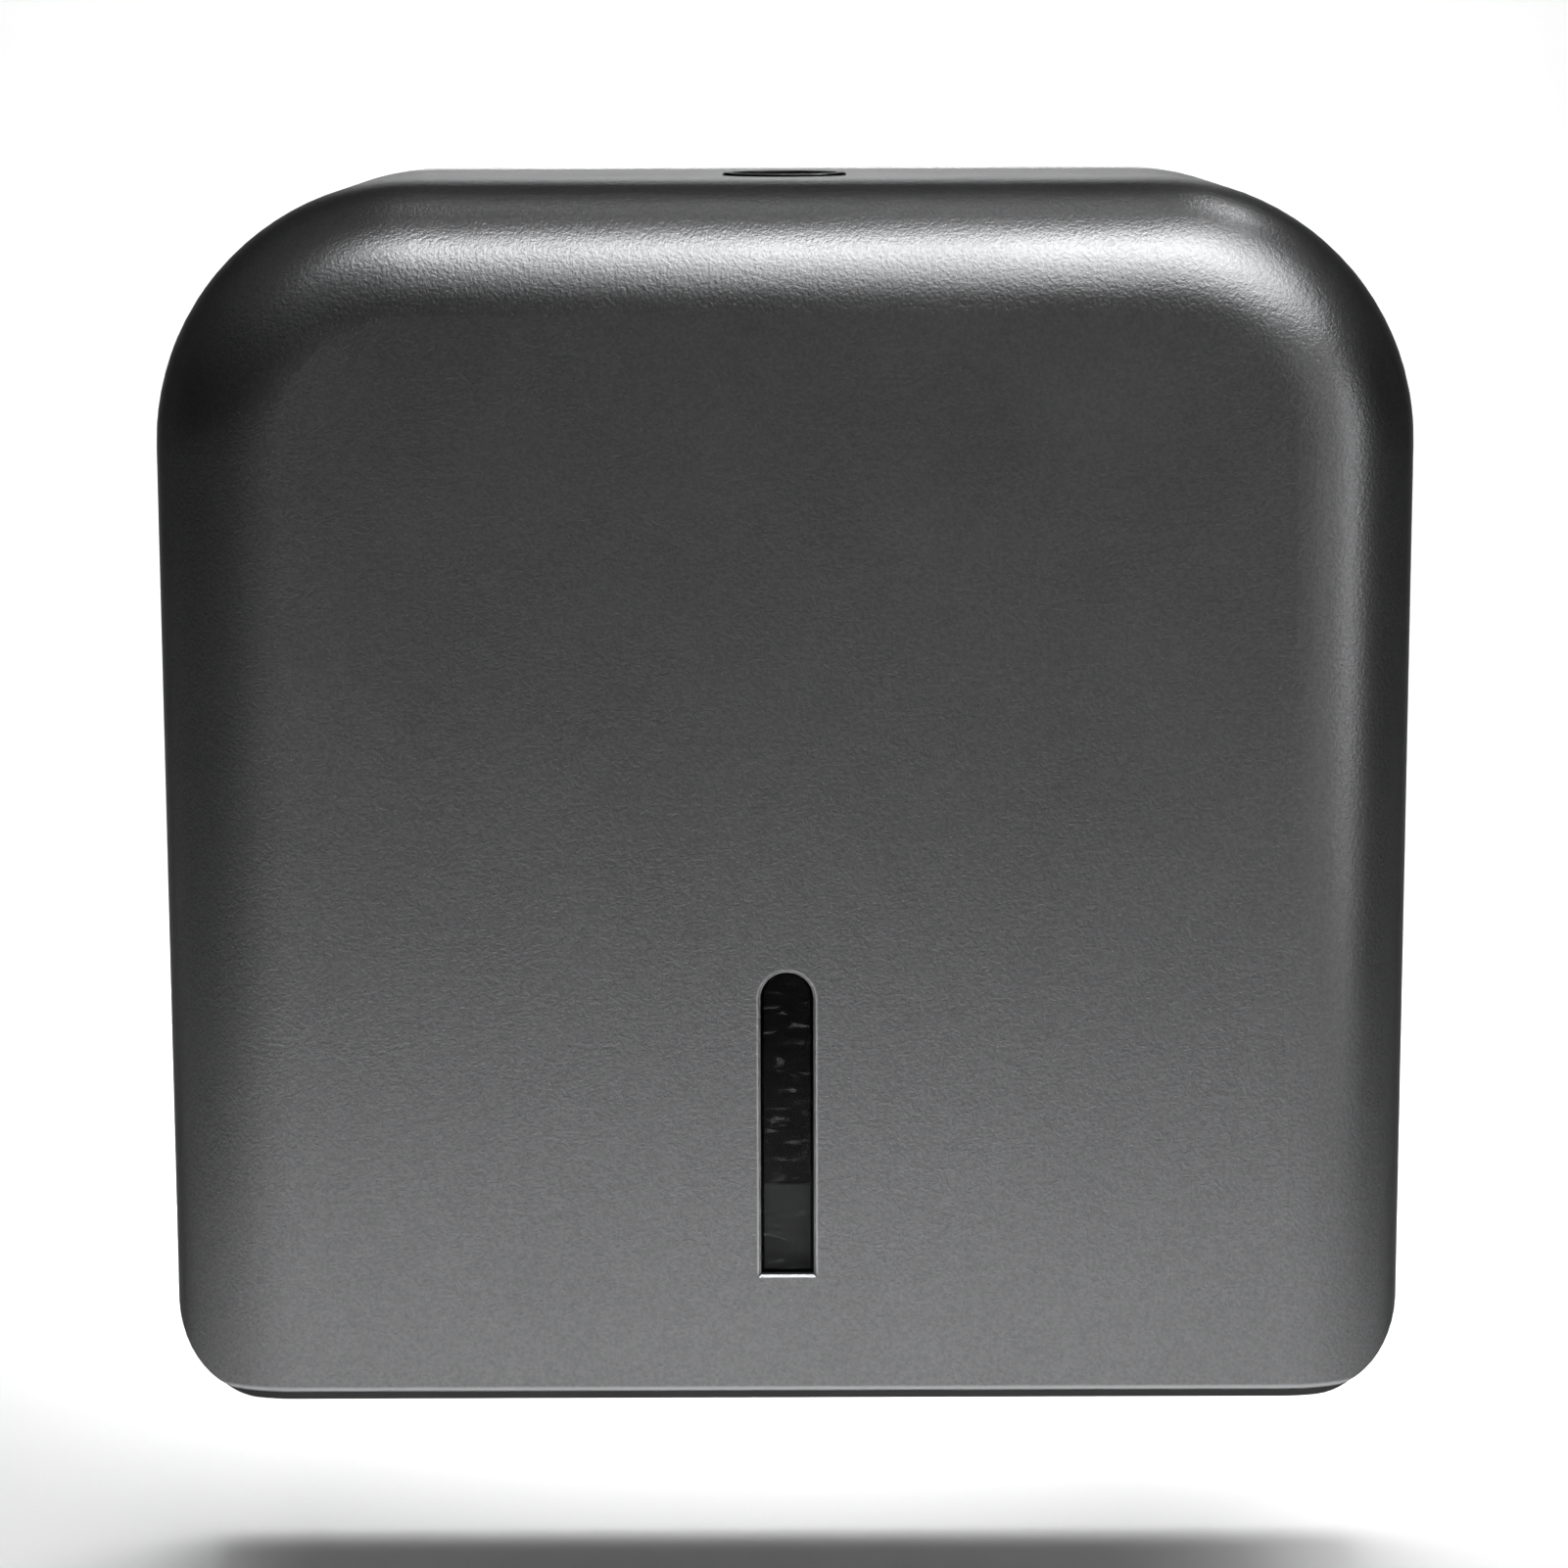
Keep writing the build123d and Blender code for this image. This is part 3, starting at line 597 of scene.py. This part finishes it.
front_lamps = [
    soft_light("front_panel", (0.22, -0.335, 0.68), (0.06, -0.05, 0.25), (0.70, 0.50), 1.25, 90.0),
    soft_light("floor_panel", (0.0, -0.33, 0.62), (0.0, -0.33, 0.0), (0.60, 0.22), 1.2, 80.0),
    soft_light("room_panel", (0.0, -2.4, 1.6), (0.0, -2.4, 0.0), (1.6, 1.6), 6.0, 90.0),
]
print("front lamps:", *(light.name for light in front_lamps))

# %% [markdown]
# The next four draw the edges. Two low cards on the right make the upright ridge there, a
# small lamp makes the glint on the corner, and a long one behind the dispenser makes the thin
# line along the top.

# %% Lamps for the edges
edge_lamps = [
    soft_light("right_card", (0.55, -0.33, 0.19), (0.13, -0.06, 0.15), (0.08, 0.36), 0.25),
    soft_light("front_card", (0.40, -0.46, 0.19), (0.13, -0.06, 0.15), (0.28, 0.36), 0.025, 70.0),
    soft_light("corner_lamp", (0.42, 0.32, 1.02), (0.096, -0.04, 0.262), (0.16, 0.05), 0.07, 60.0),
    soft_light("edge_panel", (0.0, 0.75, 0.55), (0.0, -0.03, 0.266), (1.0, 0.14), 0.13, 25.0),
]
print("edge lamps:", *(light.name for light in edge_lamps))

# %% [markdown]
# The last two light the floor and the backdrop behind the dispenser, so that it stands before
# an even pale ground as in the photograph. Their cones of light miss the dispenser itself.

# %% Lamps for the background
background_lamps = [
    soft_light("rear_panel", (0.0, 0.45, 0.9), (0.0, 0.45, 0.0), (0.35, 0.70), 1.5, 30.0),
    soft_light("backdrop_panel", (0.0, 0.5, 1.4), (0.0, 1.5, 0.0), (0.6, 0.6), 12.5, 110.0),
]
print("background lamps:", *(light.name for light in background_lamps))

# %% [markdown]
# ## Room
#
# The room itself is dim near the horizon and has a pale ceiling. A picture of a room could
# stand round the scene, but one number is enough: a direction's height, its z, sets how bright
# the room is that way.

# %% Room
ceiling_heights, room_levels = (0.25, 0.75), (0.02, 0.13)
world = bpy.data.worlds.new("room")
world.use_nodes = True
background = world.node_tree.nodes["Background"]
background.inputs["Color"].default_value = (1.0, 1.0, 1.0, 1.0)
outward = world.node_tree.nodes.new("ShaderNodeTexCoord").outputs["Generated"]
level = remap(world, axes(world, outward)[2], ceiling_heights, room_levels)
level.node.interpolation_type = "SMOOTHSTEP"
world.node_tree.links.new(level, background.inputs["Strength"])
bpy.context.scene.world = world
print("room levels from horizon to ceiling:", room_levels)

# %% [markdown]
# ## Camera
#
# The camera's place was worked out from the photograph: about 0.93 m in front of the face,
# slightly above the top, looking a little down through a long lens. Its angles are in radians,
# and its focal length is in widths of the picture.

# %% Camera
camera_place = (-0.0018, -0.9825, 0.2965)
yaw_angle, pitch_angle, roll_angle = 0.0014, 0.1676, -0.0027
focal_widths = 4468.0 / 1601.0


def aimed_camera(place, yaw, pitch, roll, focal):
    """A camera turned right by yaw, down by pitch, and then about its own line of sight."""
    level_part = math.cos(pitch)
    forward = Vector((math.sin(yaw) * level_part, math.cos(yaw) * level_part, -math.sin(pitch)))
    right = Vector((math.cos(yaw), -math.sin(yaw), 0.0))
    up = right.cross(forward)
    tilted_right = math.cos(roll) * right + math.sin(roll) * up
    tilted_up = math.cos(roll) * up - math.sin(roll) * right
    lens = bpy.data.cameras.new("camera")
    lens.sensor_width = 36.0
    lens.lens = focal * lens.sensor_width
    camera = bpy.data.objects.new("camera", lens)
    camera.matrix_world = Matrix((tilted_right, tilted_up, -forward)).transposed().to_4x4()
    camera.location = place
    bpy.context.scene.collection.objects.link(camera)
    return camera


camera = aimed_camera(camera_place, yaw_angle, pitch_angle, roll_angle, focal_widths)
bpy.context.scene.camera = camera
bpy.context.scene.view_settings.view_transform = "Standard"
print("lens in mm:", round(camera.data.lens, 1))
